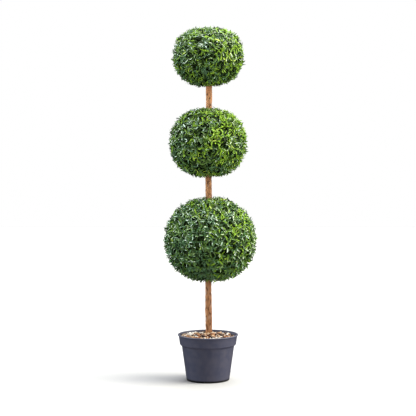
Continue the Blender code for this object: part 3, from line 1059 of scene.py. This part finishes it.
class TOPIARY_OT_foliage(bpy.types.Operator):
    """Grow the three balls: frame, main twigs, fine twigs and leaves"""

    bl_idname = "topiary.foliage"
    bl_label = "Leaf Balls"

    def execute(self, context):
        shapes = [leaf_shape(*bend) for bend in LEAF_BENDS]
        leaf_materials = {
            name: moulded_leaf("moulded_" + name, list(getattr(colours(), name)), roughness, gloss)
            for name, _, _, roughness, gloss in LEAF_DEALS
        }
        twig_material = twig_plastic()
        frame_material = frame_plastic()
        for ball in BALLS:
            prefix = ball.node.removeprefix("foliage_") + "_"
            mains = main_twigs(ball)
            sprays = self.grow(ball, mains)
            core = lattice_frame(prefix + "frame", ball)
            finish_piece(core, frame_material, "leaf_green", ball.node)
            self.add_twigs(prefix, ball, mains, sprays, twig_material)
            self.deal_leaves(prefix, ball, sprays, shapes, leaf_materials)
        return {"FINISHED"}

    def grow(self, ball, mains):
        chance = random.Random(ball.seed + 2 * FINE_SEED)
        count = round(ball_area(ball) / sizes().twig_spacing ** 2)
        sprays = []
        for direction, axis, turn in sprig_places(count, ball.seed + FINE_SEED, FINE_JITTER, FINE_TILT):
            spray = grow_spray(ball, mains, direction, axis, turn, chance)
            if spray is not None:
                sprays.append(spray)
        return sprays

    def add_twigs(self, prefix, ball, mains, sprays, material):
        main_lines = [(root, root + axis * length) for root, axis, length in mains]
        fine_lines = [spray.line for spray in sprays]
        sorts = (("main_twigs", main_lines, MAIN_RADII), ("fine_twigs", fine_lines, FINE_RADII))
        for name, lines, radii in sorts:
            twigs = mesh_object(prefix + name, *twig_mesh(lines, radii))
            finish_piece(twigs, material, "leaf_green", ball.node)

    def deal_leaves(self, prefix, ball, sprays, shapes, materials):
        """Deals each spray a colour for its grown leaves and one for its fresh ones.

        Young colours come in patches and, as painted light, lean to the right and to the crown. The oldest
        leaves,
        low in the sprays, are always deep green: their age, and painted shade deep in the ball. The leaves of
        each colour are joined.
        """
        chance = random.Random(ball.seed)
        names = [deal[0] for deal in LEAF_DEALS]
        heaps = {name: [] for name in names}
        for spray in sprays:
            tip = spray.line[-1]
            patch = noise.noise(tip / PATCH_WIDTH + Vector((0, ball.seed, 0)))
            crown = max(0, (tip.z - ball.z) / ball.half_height)
            # Painted light: youth rises to the right and at the crown.
            youth = ball.youth + PATCH_YOUTH * patch + PAINTED_LIGHT_ASIDE * tip.x + ball.crown_painted_light * crown
            shares = [share * math.exp(youth * lean) for _, share, lean, _, _ in LEAF_DEALS]
            # The old pairs always take the deep colour: their age, and painted shade deep in the ball.
            for name, leaves in zip(("leaf_deep", *chance.choices(names, shares, k=2)), spray.leaves):
                heaps[name].extend(leaves)
        width_share = sizes().leaf_width / sizes().leaf_length
        for name in names:
            leaves = leaf_object(prefix + name, shapes, heaps[name], width_share)
            finish_piece(leaves, materials[name], "leaf_green", ball.node)


CAMERA_PLACE = (0, -4.35, 0.84)
CAMERA_AIM = (0, 0, 0.588)
CAMERA_LENS = 111
FLOOR_SIZE = 14
FLOOR_GLOW = 0.95
SKY_GLOW = 0.34
GLOW_BAND = 0.6  # share of upright, up or down, at which the glow levels off
WORLD_MIRRORED = 0.05
SKY_MIRRORED = 0.4
MIRRORED_BAND = 0.8  # the same for what is mirrored, from level up
LAMPS = (  # (name, where it stands, strength, width in degrees as seen from the tree, colour)
    ("overhead", (0.05, 0.05, 1), 3.5, 40, (0.95, 0.97, 1)),
    ("high_back", (0.1, 0.45, 0.9), 0.6, 30, (0.95, 0.97, 1)),
    ("key", (0.87, -0.35, 0.45), 1.6, 36, (1, 0.97, 0.85)),
    ("back_key", (0.9, 0.03, 0.45), 3.4, 36, (1, 0.97, 0.85)),
    ("high_key", (0.5, -0.1, 0.86), 1.1, 26, (1, 0.97, 0.9)),
    ("fill", (-0.9, 0.02, 0.5), 3.2, 30, (0.84, 0.93, 0.93)),
    ("front_glint", (-0.25, -0.9, 0.35), 0.1, 12, (0.9, 0.96, 1)),
)
FLAGGED_LAMP = "fill"


def aim(obj, target):
    obj.rotation_euler = (Vector(target) - obj.location).to_track_quat("-Z", "Y").to_euler()


def add_sun(name, towards, strength, softness, colour):
    """A wide, far softbox, softness degrees across as seen from the tree."""
    data = bpy.data.lights.new(name, "SUN")
    data.energy = strength
    data.angle = math.radians(softness)
    data.color = colour
    light = bpy.data.objects.new(name, data)
    light.location = towards
    bpy.context.scene.collection.objects.link(light)
    aim(light, (0, 0, 0))
    return light


def studio_floor():
    """Matt pale paper of a studio sweep, which the lamps burn out to white."""
    material, tree, shader = new_material("matt_paper_sweep", 0.9)
    colour = ramped(tree, cloud(tree, 500 * MM, 2), [(0.3, "BBBBBB"), (0.7, "BEBEBE")])
    tree.links.new(colour, shader.inputs["Base Color"])
    return material


class TOPIARY_OT_stage(bpy.types.Operator):
    """Set the floor, the lights and the camera"""

    bl_idname = "topiary.stage"
    bl_label = "Stage"

    def execute(self, context):
        deselect_all()
        bpy.ops.mesh.primitive_plane_add(size=FLOOR_SIZE)
        floor = context.object
        floor.name = "studio_floor"
        floor.data.materials.append(studio_floor())
        floor.visible_diffuse = False
        floor.visible_glossy = False
        floor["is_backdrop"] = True
        self.light_world(context.scene)
        for name, *settings in LAMPS:
            light = add_sun(name, *settings)
            if name == FLAGGED_LAMP:
                self.flag(light, floor)
        camera = bpy.data.objects.new("camera", bpy.data.cameras.new("camera"))
        camera.location = CAMERA_PLACE
        camera.data.lens = CAMERA_LENS
        context.scene.collection.objects.link(camera)
        aim(camera, CAMERA_AIM)
        context.scene.camera = camera
        context.scene.view_settings.view_transform = "Standard"
        return {"FINISHED"}

    def flag(self, light, floor):
        """Keeps a lamp off the floor, as a black flag does in a studio, so it throws no second shadow."""
        shaded = bpy.data.collections.new("flagged")
        shaded.objects.link(floor)
        light.light_linking.receiver_collection = shaded
        shaded.collection_objects[0].light_linking.link_state = "EXCLUDE"

    def light_world(self, scene):
        """A white studio that lights the tree most from its floor, and is mirrored a little from above."""
        world = bpy.data.worlds.new("white_studio")
        world.use_nodes = True
        tree = world.node_tree
        background = tree.nodes["Background"]
        background.inputs["Color"].default_value = (1, 1, 1, 1)
        heading = add_node(tree, "ShaderNodeTexCoord").outputs["Generated"]
        height = add_node(tree, "ShaderNodeSeparateXYZ", {"Vector": heading}).outputs["Z"]
        glow = {"From Min": -GLOW_BAND, "From Max": GLOW_BAND, "To Min": FLOOR_GLOW, "To Max": SKY_GLOW}
        room = add_node(tree, "ShaderNodeMapRange", {"Value": height, **glow}).outputs["Result"]
        rays = add_node(tree, "ShaderNodeLightPath").outputs
        gleam = {"From Max": MIRRORED_BAND, "To Min": WORLD_MIRRORED, "To Max": SKY_MIRRORED}
        mirrored = add_node(tree, "ShaderNodeMapRange", {"Value": height, **gleam}).outputs["Result"]
        light = add_node(tree, "ShaderNodeMix", {0: rays["Is Glossy Ray"], 2: room, 3: mirrored})
        strength = add_node(tree, "ShaderNodeMix", {0: rays["Is Camera Ray"], 2: light.outputs[0], 3: 1.0})
        tree.links.new(strength.outputs[0], background.inputs["Strength"])
        scene.world = world


class TOPIARY_PT_panel(bpy.types.Panel):
    """The sidebar's list of sizes, colours and pieces"""

    bl_label = "Three-Ball Topiary"
    bl_idname = "TOPIARY_PT_panel"
    bl_space_type = "VIEW_3D"
    bl_region_type = "UI"
    bl_category = "Topiary"

    def draw(self, context):
        layout = self.layout
        for group in (context.scene.topiary_sizes, context.scene.topiary_colours):
            for name in group.__annotations__:
                layout.prop(group, name)
        for operator in OPERATORS:
            layout.operator(operator.bl_idname)


OPERATORS = (
    TOPIARY_OT_stage,
    TOPIARY_OT_pot,
    TOPIARY_OT_fill,
    TOPIARY_OT_gravel,
    TOPIARY_OT_stake,
    TOPIARY_OT_foliage,
)
CLASSES = (TopiarySizes, TopiaryColours, *OPERATORS, TOPIARY_PT_panel)


def register():
    for cls in CLASSES:
        bpy.utils.register_class(cls)
    bpy.types.Scene.topiary_sizes = PointerProperty(type=TopiarySizes)
    bpy.types.Scene.topiary_colours = PointerProperty(type=TopiaryColours)


def unregister():
    del bpy.types.Scene.topiary_sizes
    del bpy.types.Scene.topiary_colours
    for cls in reversed(CLASSES):
        bpy.utils.unregister_class(cls)


def write_sizes():
    """Gathers the frame's box and the dressed model's box as plain lists, and does nothing with them."""
    boxes = {"cad": CAD_BOX, "visual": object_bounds()}
    {name: [list(corner) for corner in box] for name, box in boxes.items()}


def main():
    register()
    bpy.ops.topiary.stage()
    bpy.ops.topiary.pot()
    bpy.ops.topiary.fill()
    bpy.ops.topiary.gravel()
    bpy.ops.topiary.stake()
    bpy.ops.topiary.foliage()
    write_sizes()


if __name__ == "__main__":
    main()
